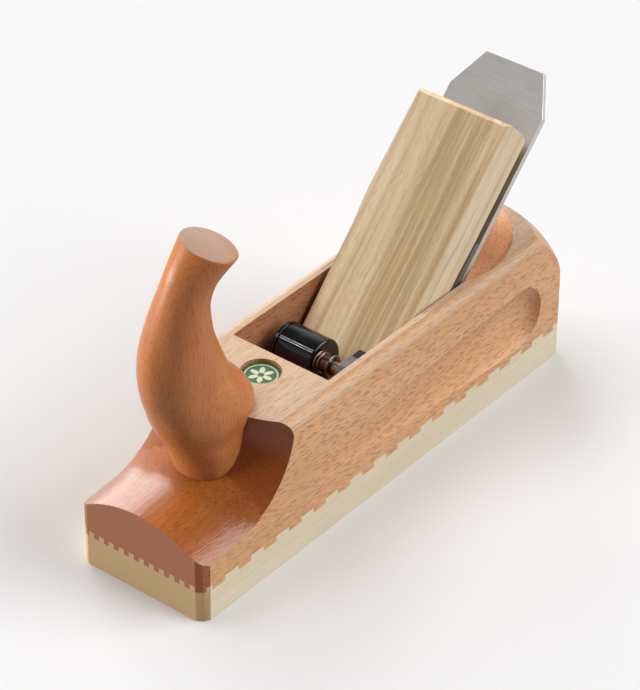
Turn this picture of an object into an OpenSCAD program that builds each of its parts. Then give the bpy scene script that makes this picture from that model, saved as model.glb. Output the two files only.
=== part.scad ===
// Wooden jack plane with a front horn, a wedge, a double iron and a cross roller.
// +X is the right side seen from the toe, the toe lies at -Y, the sole rests on Z = 0.

/* [Block] */
// Width of the block
block_w = 65; // [63:1:67]
// Length of the block
block_l = 240; // [236:1:246]
// Height of the deck above the sole's face
deck_z = 66.5; // [65:0.5:68]
// Width of the cut on each upright corner
corner_cut = 4.3; // [2:0.1:6]
// Radius of the rounded long edges of the deck
edge_r = 7.4; // [7:0.1:9]
// How far the deck stops short of each side
edge_in = 5.1; // [4:0.1:6]
// Radius of the heel's rounded top edge
heel_r = 41.2; // [40:0.1:43]

/* [Sole joint] */
// Thickness of the sole up to the roots of its fingers
sole_t = 14.5; // [12:0.5:16]
// Height of the fingers
finger_h = 2.4; // [1.5:0.1:3]
// Pitch of the fingers, measured square to them
finger_pitch = 5; // [4:0.5:8]
// Angle of the fingers to the length of the block
finger_angle = 18.6; // [10:0.1:25]

/* [Toe saddle] */
// Radius of the milled hollow at the middle of the toe
saddle_r = 27.8; // [26:0.1:30]
// Radius of the crown that the hollow leaves across the toe
crown_r = 53.4; // [50:0.2:60]
// Place of the hollow's axis along the length
saddle_y = -102.5; // [-104:0.1:-101]
// Height of the hollow's axis above the sole's face
saddle_z = 67; // [67:0.1:68]
// Fall of the hollow towards the toe
saddle_fall = 3.6; // [2:0.1:5]

/* [Throat and bed] */
// Angle of the bed to the sole
bed_angle = 45; // [45:1:45]
// Distance of the bed from the origin, square to the bed
bed_n = 4.9; // [4:0.1:6]
// Width of the throat
throat_w = 49.6; // [49.6:0.1:50.4]
// Front edge of the throat on the deck
throat_y = -33.4; // [-36:0.1:-30]
// Gap of the mouth in front of the iron
mouth_gap = 1.8; // [0.5:0.1:3]

/* [Double iron] */
// Width of the iron
iron_w = 48; // [48:1:48]
// Thickness of the iron
iron_t = 3; // [2.5:0.1:3.2]
// Length of the iron along the bed
iron_l = 187.6; // [180:0.1:190]
// Angle of the ground bevel
bevel_angle = 25; // [22:1:30]
// Length of the cap iron
cap_l = 110; // [100:1:115]
// Thickness of the cap iron
cap_t = 3; // [2.5:0.1:3]
// Set-back of the cap iron's edge
cap_back = 1; // [0.5:0.1:2]
// Place of the cap screw along the bed
screw_s = 62; // [58:1:66]

/* [Wedge] */
// Lower end of the wedge along the bed
wedge_s0 = 12; // [10:0.5:14]
// Upper end of the wedge along the bed
wedge_s1 = 151.4; // [145:0.1:153]
// Width of the wedge where it enters the throat
wedge_w = 46; // [44:0.2:47]
// Width of the wedge above its shoulders
wedge_top_w = 47.4; // [47:0.2:49]
// Thickness of the wedge at its upper end
wedge_t = 20.8; // [20:0.1:21.5]
// How far the wedge sits to the right of the middle
wedge_x = 0.9; // [0:0.1:1]

/* [Eccentric] */
// Place of the spindle along the length
spindle_y = -10.7; // [-10.7:0.1:-10.7]
// Height of the spindle above the sole's face
spindle_z = 53; // [53:0.1:53]
// Radius of the spindle
spindle_r = 3; // [2.5:0.1:3.2]
// Radius of the eccentric roller
roller_r = 10.5; // [10:0.1:10.5]
// How far the roller's centre lies from the spindle
throw = 5.1; // [4.5:0.1:5.1]
// Left end of the roller with its flange
roller_x0 = -19.5; // [-19.5:0.1:-19]
// Length of the roller with its flange
roller_l = 21; // [20:0.1:21.2]

/* [Horn] */
// How far the horn's top leans over to the right
horn_lean_x = 8; // [0:0.5:9]
// Tilt of the horn's flat top, both sideways and to the rear
horn_tilt = 15.5; // [0:0.5:18]
// Radius of the dowel under the horn
dowel_r = 6; // [5:0.5:8]

/* [Hidden] */

$fn = 64;
fit = 0.1;
over = 1;
long = 400;

half_w = block_w / 2;
half_l = block_l / 2;
throat_half = throat_w / 2;

// The heel's rounding turns about an upright axis: the axis, the arc's centre and the arc's foot
heel_y = 73.6;
heel_in = 13;
heel_z = 35.6;

// Faces of the iron and the cap and the wedge's back, measured square to the bed
iron_n = bed_n + iron_t;
cap_n = iron_n + cap_t;
wedge_n = cap_n + 0.15;
edge_s = -iron_n;
iron_s1 = edge_s + iron_l;
cap_s0 = edge_s + cap_back;
cap_s1 = cap_s0 + cap_l;

// The iron's clipped top, its slot and the hole that lets the screw's head through
clip_x = 9.2;
clip_s = 18;
slot_half = 5.5;
slot_s0 = 42;
hole_s = screw_s + 56;
hole_r = 9.6;

// The cap screw and its bush
head_r = 9;
head_h = 3.4;
shank_r = 4;
bush_r = 7;
bush_h = 4.2;
bed_slot_half = 10.5;
bed_slot_depth = 5.5;
bed_slot_s0 = 46;

// The row of parts along the spindle
flange_l = 1.9;
flange_r = roller_r + 0.2;
roller_x1 = roller_x0 + roller_l;
ring_l = 0.9;
ring_r = 4.7;
washer_x = 8.3;
washer_r = 5.1;
sleeve_r = 3.8;
bush_depth = 4.8;
cheek_bush_r = 5.2;
collar_r = 6.4;
lever_x0 = 15;
lever_l = 5.2;
lever_r = 7.8;
arm_top = 6.5;
arm_y = 4.2;
pad_y = 11;
pad_low = -3.2;

// The label's recess
label_y = -45.5;
label_r = 8.5;
label_depth = 2.3;
label_t = 0.4;

// The finger grooves along the sides
groove_r = 24;
groove_depth = 5.1;
groove_y = 87.5;
groove_y0 = -50;
groove_z = 33.5;

// The pointed hollow behind the iron: half width and rear tip on the deck
scoop_y = 72;
scoop_half = 28.2;
scoop_tip = 112.5;
scoop_rise = 26;

// The strike button
button_z = 38;
button_r = 13;
button_h = 4.5;
stem_r = 7;
stem_l = 18;

// The horn's dowel
dowel_y = -80;
dowel_z0 = 19;
dowel_z1 = 64;

beech = "#CF9B6E";
hornbeam = "#DCCBA2";
steel = "#A3A2A1";
black = "#1E1E20";

// Axes of the bed: X stays, Y runs up the bed and Z stands square to it
module on_bed() {
    rotate([bed_angle, 0, 0]) children();
}

// Axes of the spindle: the shape's own Z becomes X
module on_spindle(x) {
    translate([x, spindle_y, spindle_z]) rotate([0, 90, 0]) children();
}

// Axes of the eccentric roller, whose centre lies nearer to the wedge than the spindle does
module on_roller(x) {
    off = throw / sqrt(2);
    translate([0, off, -off]) on_spindle(x) children();
}

// Outline of the block seen from above, with cut and slightly bulging corners
module block_plan() {
    mid = corner_cut * 0.38;
    corner = [[half_w, half_l - corner_cut], [half_w - mid, half_l - mid], [half_w - corner_cut, half_l]];
    heel = concat(corner, [for (i = [2 : -1 : 0]) [-corner[i][0], corner[i][1]]]);
    polygon(concat(heel, [for (p = heel) -p]));
}

// The raised fingers of the sole, seen from above and trimmed to the block
module finger_plan() {
    reach = (half_w + half_l) * 1.2;
    first = 28 * cos(finger_angle) + half_l * sin(finger_angle) - finger_pitch / 2;
    count = 15;
    intersection() {
        block_plan();
        rotate(-finger_angle)
            for (i = [-2 * count + 1 : 1])
                translate([first + i * finger_pitch, -reach]) square([finger_pitch / 2, 2 * reach]);
    }
}

// Section of the block across its length, with the rounded long edges
module block_section() {
    steps = 10;
    centre_x = half_w - edge_r;
    centre_z = deck_z - sqrt(edge_r * edge_r - pow(edge_r - edge_in, 2));
    sweep = acos((edge_r - edge_in) / edge_r);
    arc = [for (i = [0 : steps]) [centre_x + edge_r * cos(sweep * i / steps), centre_z + edge_r * sin(sweep * i / steps)]];
    polygon(concat([[-half_w, 0], [half_w, 0]], arc, [for (i = [steps : -1 : 0]) [-arc[i][0], arc[i][1]]]));
}

// Section of the waisted cutter that hollows the toe, taken from "back" behind its axis
module saddle_section(back) {
    wide = block_w + 4 * over;
    deep = 20;
    difference() {
        translate([-back, -wide / 2]) square([back + saddle_r + deep, wide]);
        translate([saddle_r + crown_r, 0]) circle(crown_r, $fn = 180);
    }
}

// The hollow at the toe: the cutter turns down from the deck and then runs out over the toe
module saddle_hollow() {
    past_level = 10;
    translate([0, saddle_y, saddle_z]) rotate([saddle_fall, 0, 0]) rotate([0, 90, 0]) {
        rotate_extrude(angle = 90 + past_level, $fn = 120) saddle_section(0);
        rotate([90, 0, 0]) linear_extrude(half_l) saddle_section(saddle_r);
    }
}

// Everything that the rounding of the heel leaves standing
module heel_envelope() {
    translate([-block_w, -block_l, -2 * over]) cube([2 * block_w, block_l + heel_y, deck_z + 4 * over]);
    translate([0, heel_y, 0]) rotate_extrude($fn = 180) {
        translate([0, -2 * over]) square([block_w, heel_z + 2 * over]);
        square([heel_in, deck_z + 2 * over]);
        translate([heel_in, heel_z]) intersection() {
            circle(heel_r);
            square(heel_r);
        }
    }
}

// The block rounded outside, before anything is cut into it
module block_form() {
    intersection() {
        translate([0, 0, -over]) linear_extrude(deck_z + 2 * over) block_plan();
        translate([0, half_l + over, 0]) rotate([90, 0, 0]) linear_extrude(block_l + 2 * over) block_section();
        heel_envelope();
    }
}

// The throat from the mouth to the deck, with the bed as its rear wall
module throat() {
    foot_y = -bed_n / sin(bed_angle);
    tip_y = -iron_n / sin(bed_angle);
    front_y = tip_y - mouth_gap;
    up = deck_z + 20;
    translate([-throat_half, 0, 0]) rotate([90, 0, 90]) linear_extrude(throat_w)
        polygon([[foot_y - over, -over], [foot_y + up, up], [throat_y, up], [throat_y, deck_z],
                 [front_y - 5, 14], [front_y, 5], [front_y, -over]]);
}

// Slot in the bed for the head of the cap screw
module bed_slot() {
    on_bed() {
        translate([-bed_slot_half, bed_slot_s0, bed_n - bed_slot_depth])
            cube([2 * bed_slot_half, long / 2, bed_slot_depth + over]);
        translate([0, bed_slot_s0, bed_n - bed_slot_depth]) cylinder(h = bed_slot_depth + over, r = bed_slot_half);
    }
}

// Shallow groove along one side that deepens towards the heel and ends in a ball
module finger_groove(side) {
    x1 = half_w + groove_r - groove_depth;
    x0 = half_w + groove_r + 0.1;
    run = groove_y - groove_y0;
    lean = atan((x0 - x1) / run);
    translate([side * x1, groove_y, groove_z]) rotate([90, 0, 0]) rotate([0, side * lean, 0]) rotate_extrude($fn = 120) {
        square([groove_r, run / cos(lean)]);
        intersection() {
            circle(groove_r);
            translate([0, -groove_r]) square(groove_r);
        }
    }
}

// Pointed hollow behind the iron, shaped by two balls that overlap
module scoop() {
    reach = scoop_tip - scoop_y;
    shift = (reach * reach - scoop_half * scoop_half) / (2 * scoop_half);
    ball = sqrt(pow(scoop_half + shift, 2) + scoop_rise * scoop_rise);
    intersection() {
        translate([-shift, scoop_y, deck_z + scoop_rise]) rotate([0, -90, 0]) sphere(ball, $fn = 120);
        translate([shift, scoop_y, deck_z + scoop_rise]) rotate([0, -90, 0]) sphere(ball, $fn = 120);
    }
}

module body() {
    color(beech) difference() {
        block_form();
        saddle_hollow();
        translate([-block_w, -block_l, -2 * over]) cube([2 * block_w, 2 * block_l, sole_t + 2 * over]);
        translate([0, 0, sole_t - over]) linear_extrude(finger_h + over) finger_plan();
        throat();
        bed_slot();
        scoop();
        for (side = [-1, 1]) finger_groove(side);
        translate([0, label_y, deck_z - label_depth]) cylinder(h = label_depth + over, r = label_r);
        on_spindle(throat_half - over) cylinder(h = bush_depth + over, r = cheek_bush_r);
        translate([0, dowel_y, dowel_z0]) cylinder(h = long, r = dowel_r);
        translate([0, half_l - stem_l, button_z]) rotate([-90, 0, 0]) cylinder(h = stem_l + over, r = stem_r);
    }
}

module sole() {
    color(hornbeam) difference() {
        union() {
            linear_extrude(sole_t) block_plan();
            linear_extrude(sole_t + finger_h) finger_plan();
        }
        throat();
    }
}

// Stations of the horn from its foot to its top: height, place along the length, half depth, half width
// and place across
horn_stations = [
    [38, -81, 8.9, 10.8, -0.1], [43.7, -80.4, 12.7, 13.8, 0.1], [51.6, -79.7, 16.4, 14.2, 0.9],
    [60.7, -80.8, 20, 15.2, 0.4], [69.8, -81.6, 24.2, 17.6, 0], [78.9, -85.6, 24, 16.6, 0],
    [88, -91.3, 22.1, 14.2, 0], [97.1, -94.5, 20.7, 14, 0], [106.2, -96.4, 18.5, 13.7, 0],
    [115.3, -97.2, 15.5, 12.6, 0], [124.3, -97.1, 13, 11.3, 0], [133.4, -96.3, 10.9, 10, 0],
    [142.5, -93.2, 10.4, 10, 0], [151.6, -85.6, 11.7, 11.7, 0]
];
horn_last = len(horn_stations) - 1;
horn_turn_z = 72;

// Smooth curve through the stations: q counts them from the foot
function horn_at(q) = let (
    i = min(floor(q), horn_last - 1), t = q - i,
    a = horn_stations[max(i - 1, 0)], b = horn_stations[i],
    c = horn_stations[i + 1], d = horn_stations[min(i + 2, horn_last)])
    b + 0.5 * (t * (c - a) + t * t * (2 * a - 5 * b + 4 * c - d) + t * t * t * (3 * b - a - 3 * c + d));

// One slice of the horn: an ellipse that shifts and tilts more and more towards the top
function horn_ring(q, n) = let (
    s = horn_at(q),
    rise = max(0, s[0] - horn_turn_z) / (horn_stations[horn_last][0] - horn_turn_z),
    tilt = horn_tilt * rise * rise * (3 - 2 * rise))
    [for (i = [0 : n - 1]) let (u = s[3] * cos(360 * i / n), v = s[2] * sin(360 * i / n))
        [s[4] + horn_lean_x * rise * rise + u * cos(tilt), s[1] + v * cos(tilt), s[0] - (u + v) * sin(tilt)]];

// A closed skin over a list of rings that all have the same number of points
module ring_loft(rings) {
    n = len(rings[0]);
    m = len(rings);
    points = [for (ring = rings) for (p = ring) p];
    sides = [for (j = [0 : m - 2]) for (i = [0 : n - 1]) let (k = (i + 1) % n)
        each [[j * n + i, (j + 1) * n + i, (j + 1) * n + k], [j * n + i, (j + 1) * n + k, j * n + k]]];
    bottom = [for (i = [0 : n - 1]) i];
    top = [for (i = [n - 1 : -1 : 0]) (m - 1) * n + i];
    polyhedron(points, concat(sides, [bottom, top]), convexity = 6);
}

module horn() {
    color("#C98A55") difference() {
        ring_loft([for (i = [0 : 2 * horn_last]) horn_ring(i / 2, 36)]);
        difference() {
            translate([-half_w, -half_l, 0]) cube([block_w, half_l, deck_z]);
            saddle_hollow();
        }
        translate([0, dowel_y, 0]) cylinder(h = dowel_z1, r = dowel_r);
    }
}

module horn_dowel() {
    color("#D8B48A") translate([0, dowel_y, dowel_z0]) cylinder(h = dowel_z1 - dowel_z0, r = dowel_r);
}

module label_disc() {
    color("#3F8F63") translate([0, label_y, deck_z - label_depth]) cylinder(h = label_t, r = label_r);
}

// Mushroom-headed plug in the heel that takes the hammer when the iron is loosened
module strike_button() {
    rim = 2.2;
    color(hornbeam) translate([0, half_l, button_z]) rotate([-90, 0, 0]) {
        translate([0, 0, -stem_l]) cylinder(h = stem_l, r = stem_r);
        rotate_extrude() {
            square([button_r - rim, button_h]);
            square([button_r, button_h - rim]);
            translate([button_r - rim, button_h - rim]) intersection() {
                circle(rim);
                square(rim);
            }
        }
    }
}

module cutting_iron() {
    half = iron_w / 2;
    color(steel) on_bed() difference() {
        translate([0, 0, bed_n + fit / 2]) linear_extrude(iron_t - fit / 2)
            polygon([[-half, edge_s], [half, edge_s], [half, iron_s1 - clip_s], [half - clip_x, iron_s1],
                     [-half + clip_x, iron_s1], [-half, iron_s1 - clip_s]]);
        translate([0, edge_s, iron_n]) rotate([-bevel_angle, 0, 0])
            translate([-half - over, -10, -10]) cube([iron_w + 2 * over, 10 + iron_t / sin(bevel_angle) + 3, 10]);
        translate([-slot_half, slot_s0, 0]) cube([2 * slot_half, hole_s - slot_s0, long]);
        translate([0, slot_s0, 0]) cylinder(h = long, r = slot_half);
        translate([0, hole_s, 0]) cylinder(h = long, r = hole_r);
    }
}

// The cap iron lies flat on the iron, with a rounded nose and a hollow behind its edge
module cap_iron() {
    half = iron_w / 2;
    low = iron_n + fit / 2;
    nose_l = 9;
    hollow_l = 30;
    nose = [for (i = [0 : 10]) let (a = 9 * i)
        [cap_s0 + nose_l * (1 - sin(a)), low + 0.3 + (cap_t - 0.35) * cos(a)]];
    under = [for (i = [1 : 12]) let (t = i / 12) [cap_s0 + 1 + hollow_l * t, low + 0.7 * sin(180 * t)]];
    color("#6E6A68") on_bed() difference() {
        translate([-half, 0, 0]) rotate([90, 0, 90]) linear_extrude(iron_w)
            polygon(concat([[cap_s1, low], [cap_s1, cap_n - 0.8], [cap_s1 - 0.8, cap_n]],
                           [for (i = [0 : 10]) nose[i]], [[cap_s0, low], [cap_s0 + 1, low]], under));
        translate([0, screw_s, 0]) cylinder(h = long, r = bush_r);
    }
}

// Threaded bush riveted into the cap iron
module screw_bush() {
    color("#B08D57") on_bed() translate([0, screw_s, iron_n + fit / 2]) difference() {
        cylinder(h = bush_h, r = bush_r);
        translate([0, 0, -over]) cylinder(h = bush_h + 2 * over, r = shank_r);
    }
}

// Slotted screw whose flat head lies behind the iron in the bed's slot
module cap_screw() {
    slot_w = 1.6;
    slot_d = 1.4;
    color("#8A8784") on_bed() translate([0, screw_s, bed_n]) {
        difference() {
            translate([0, 0, -head_h]) cylinder(h = head_h, r = head_r);
            translate([-head_r - over, -slot_w / 2, -head_h - over])
                cube([2 * (head_r + over), slot_w, slot_d + over]);
        }
        cylinder(h = iron_t + bush_h - 0.4, r = shank_r - 0.05);
    }
}

// Side view of the wedge: a chisel-shaped foot, a flat front and a rounded upper back corner
module wedge_side() {
    front_s = 22;
    front_n = wedge_n + wedge_t - 2.9;
    top_n = wedge_n + wedge_t;
    bevel = 1.8;
    round_r = 3.5;
    polygon(concat(
        [[wedge_s0, wedge_n], [wedge_s1 - round_r, wedge_n]],
        [for (i = [1 : 8]) let (a = 90 * i / 8)
            [wedge_s1 - round_r + round_r * sin(a), wedge_n + round_r * (1 - cos(a))]],
        [[wedge_s1, top_n - bevel], [wedge_s1 - bevel, top_n], [front_s, front_n], [wedge_s0, wedge_n + 3]]));
}

module wedge() {
    half_low = wedge_w / 2;
    half_top = wedge_top_w / 2;
    shoulder_s0 = 88;
    shoulder_s1 = 101;
    groove_half = bush_r + 1.4;
    groove_s1 = screw_s + 60 + bush_r + 3;
    back_bevel = 2.4;
    edge_bevel = 1.3;
    color("#CDB98C") translate([wedge_x, 0, 0]) on_bed() difference() {
        intersection() {
            linear_extrude(wedge_n + wedge_t + over)
                polygon([[-half_low, wedge_s0], [half_low, wedge_s0], [half_low, shoulder_s0], [half_top, shoulder_s1],
                         [half_top, wedge_s1], [-half_top, wedge_s1], [-half_top, shoulder_s1],
                         [-half_low, shoulder_s0]]);
            translate([-half_top - over, 0, 0]) rotate([90, 0, 90]) linear_extrude(2 * (half_top + over)) wedge_side();
        }
        translate([-groove_half, wedge_s0 - over, wedge_n - over])
            cube([2 * groove_half, groove_s1 - wedge_s0 + over, over + 2.4]);
        for (side = [-1, 1]) {
            translate([side * half_top, 0, wedge_n]) rotate([-90, 0, 0]) linear_extrude(2 * long, center = true)
                polygon([[-back_bevel, 0.01], [back_bevel, 0.01], [0, -back_bevel]]);
            translate([side * half_top, wedge_s1, wedge_n + wedge_t]) rotate([-1.1, 0, 0])
                rotate([90, 45, 0]) cube([2 * edge_bevel, 2 * edge_bevel, 2 * long], center = true);
        }
    }
}

// Spindle that stands out of the right cheek and carries the roller on its free end
module cross_spindle() {
    color("#B9B7B4") on_spindle(roller_x0) cylinder(h = throat_half + bush_depth - roller_x0, r = spindle_r);
}

// Flanged bush set in the inner face of the right cheek
module right_bush() {
    collar = throat_half - lever_x0 - lever_l - 0.3;
    color("#2A2A2C") on_spindle(throat_half - collar) difference() {
        union() {
            cylinder(h = collar, r = collar_r);
            translate([0, 0, collar]) cylinder(h = bush_depth, r = cheek_bush_r);
        }
        translate([0, 0, -over]) cylinder(h = long, r = spindle_r + 0.05);
    }
}

// Black eccentric roller whose bore lies beside its middle
module roller() {
    soft = 1.2;
    l = roller_l - flange_l;
    neck_l = 0.6;
    color(black) difference() {
        on_roller(roller_x0 + flange_l) rotate_extrude($fn = 96) {
            square([roller_r - 0.4, neck_l]);
            translate([0, neck_l]) square([roller_r, l - neck_l - soft]);
            translate([0, neck_l]) square([roller_r - soft, l - neck_l]);
            translate([roller_r - soft, l - soft]) intersection() {
                circle(soft);
                square(soft);
            }
        }
        on_spindle(roller_x0) cylinder(h = 2 * roller_l, r = sleeve_r);
    }
}

// Round plate at the roller's left end
module roller_flange() {
    edge = 0.5;
    color(black) difference() {
        on_roller(roller_x0) {
            translate([0, 0, edge]) cylinder(h = flange_l - edge, r = flange_r, $fn = 96);
            cylinder(h = edge, r1 = flange_r - edge, r2 = flange_r, $fn = 96);
        }
        on_spindle(roller_x0 - over) cylinder(h = flange_l + 2 * over, r = sleeve_r);
    }
}

// Brown sleeve on the spindle that carries the roller and its rings
module roller_sleeve() {
    color("#5A4136") on_spindle(roller_x0) difference() {
        cylinder(h = washer_x + ring_l - roller_x0, r = sleeve_r);
        translate([0, 0, -over]) cylinder(h = long, r = spindle_r);
    }
}

// Thin steel ring round the sleeve
module ring(x, r) {
    color("#A39A88") on_spindle(x) rotate_extrude($fn = 64) difference() {
        union() {
            translate([0, 0.2]) square([r, ring_l - 0.4]);
            square([r - 0.2, ring_l]);
        }
        translate([-over, -over]) square([sleeve_r + over, ring_l + 2 * over]);
    }
}

module inner_ring() {
    ring(roller_x1 + 0.4, ring_r);
}

module middle_ring() {
    ring(roller_x1 + 2.1, ring_r);
}

module outer_ring() {
    ring(washer_x, washer_r);
}

// Steel hub with a short flat-topped arm that points to the heel
module lever() {
    color("#7F8488") difference() {
        union() {
            on_spindle(lever_x0) cylinder(h = lever_l, r = lever_r);
            translate([lever_x0, spindle_y, spindle_z + pad_low]) cube([lever_l, arm_y, arm_top - pad_low]);
        }
        translate([lever_x0 - over, spindle_y - long / 2, spindle_z + arm_top]) cube([lever_l + 2 * over, long, long]);
        translate([lever_x0 - over, spindle_y + arm_y, spindle_z - long / 2]) cube([lever_l + 2 * over, long, long]);
        on_spindle(lever_x0 - over) cylinder(h = lever_l + 2 * over, r = spindle_r);
    }
}

// Black block on the end of the lever's arm
module lever_pad() {
    l = pad_y - arm_y;
    h = arm_top - 0.2 - pad_low;
    color(black) translate([lever_x0, spindle_y + arm_y, spindle_z + pad_low]) rotate([90, 0, 90])
        linear_extrude(lever_l) polygon([[0, 0], [l - 2, 0], [l, 2], [l, h - 1.2], [l - 1.2, h], [0, h]]);
}

body();
sole();
horn();
horn_dowel();
label_disc();
strike_button();
cutting_iron();
cap_iron();
screw_bush();
cap_screw();
wedge();
cross_spindle();
right_bush();
roller();
roller_flange();
roller_sleeve();
inner_ring();
middle_ring();
outer_ring();
lever();
lever_pad();
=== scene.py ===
"""Looks of a wooden jack plane: a beech block on a hornbeam sole, a carved horn at the toe, a double iron
under a wooden wedge, and a black eccentric roller that clamps the wedge in the throat."""
import math

import bmesh
import bpy
import numpy as np
from mathutils import Matrix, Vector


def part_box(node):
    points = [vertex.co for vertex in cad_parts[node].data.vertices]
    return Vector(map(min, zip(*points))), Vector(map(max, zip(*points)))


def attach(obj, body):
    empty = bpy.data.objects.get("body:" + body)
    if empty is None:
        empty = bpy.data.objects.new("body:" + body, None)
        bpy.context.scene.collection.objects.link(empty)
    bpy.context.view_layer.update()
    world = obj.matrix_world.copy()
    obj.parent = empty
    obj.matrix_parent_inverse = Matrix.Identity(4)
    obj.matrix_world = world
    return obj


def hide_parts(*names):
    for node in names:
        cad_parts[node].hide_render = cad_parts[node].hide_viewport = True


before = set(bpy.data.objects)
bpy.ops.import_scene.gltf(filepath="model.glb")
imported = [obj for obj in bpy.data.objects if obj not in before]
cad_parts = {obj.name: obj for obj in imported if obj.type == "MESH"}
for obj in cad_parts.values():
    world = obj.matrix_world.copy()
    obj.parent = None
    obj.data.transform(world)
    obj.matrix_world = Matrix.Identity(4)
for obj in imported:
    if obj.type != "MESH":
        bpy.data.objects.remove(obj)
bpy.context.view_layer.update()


# Block: the body of the plane, one piece of steamed beech with its growth rings lying aslant across the
# toe. It is planed to size, the toe's saddle and the heel are shaped, and everything gets a thin oil
# finish. The rings, the rays and the fibres are one solid pattern, so each face cuts it as a saw would.
MM = 0.001
SHARP = math.radians(30)


def colour(text):
    """An sRGB hex value as linear red, green and blue with full alpha."""
    c = np.array([int(text[i:i + 2], 16) for i in (1, 3, 5)]) / 255
    return (*np.where(c <= 0.04045, c / 12.92, ((c + 0.055) / 1.055) ** 2.4), 1.0)


def add(tree, kind, *values, inputs=None, **settings):
    """Adds a shader node and sets what it is told. The values fill the sockets that are in use, in their
    order, and inputs fills sockets by name. A node among them stands for its first output in use."""
    node = tree.nodes.new("ShaderNode" + kind)
    for key, value in settings.items():
        setattr(node, key, value)
    filled = list(zip([socket for socket in node.inputs if socket.enabled], values))
    filled += [(node.inputs[key], value) for key, value in (inputs or {}).items()]
    for socket, value in filled:
        if isinstance(value, bpy.types.Node):
            value = next(output for output in value.outputs if output.enabled)
        if isinstance(value, bpy.types.NodeSocket):
            tree.links.new(value, socket)
        else:
            socket.default_value = value
    return node


# Settings of the nodes that mix two colours, and that turn a range of values into a smooth step: below the
# range it gives 0, or the first number after it, and above the range 1, or the second.
BLEND = dict(data_type="RGBA")
STEP = dict(interpolation_type="SMOOTHSTEP")


def new_material(name):
    """An empty node material and its tree, ready to be filled."""
    material = bpy.data.materials.new(name)
    material.use_nodes = True
    material.node_tree.nodes.clear()
    return material, material.node_tree


# Patterns that every wood has. Sizes are in mm round the pith, out from it and along the grain, for fine
# fibres and for broad clouds of tone. Good and bad years swing the rings' place, and the grain bends this
# often in a metre. The dark late wood takes up this share of a ring.
FIBRE_MM, CLOUD_MM = (0.5, 0.7, 16), (9, 12, 120)
YEARS_ROUND_MM, YEARS_RINGS, YEARS_LONG_MM, YEARS_SWING = 400, 4, 900, 3.0
BENDS_PER_M = 14
LATE_FROM, LATE_TO = 0.35, 0.9
# A ray's soft edge, its faintest showing and its depth against a fibre's, the height of a fibre in mm, the
# least and most that fibres add to the roughness, and how heartwood gathers and shows in its streaks.
RAY_EDGE, RAY_FAINTEST, RAY_DEPTH = 0.8, 0.1, -0.1
RELIEF_MM, SMOOTHER, ROUGHER = 0.1, -0.05, 0.06
HEART_CORE, HEART_PULL, HEART_SHOWS, HEART_SHARE = 0.4, 0.22, (0.45, 0.85), 0.7


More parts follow.
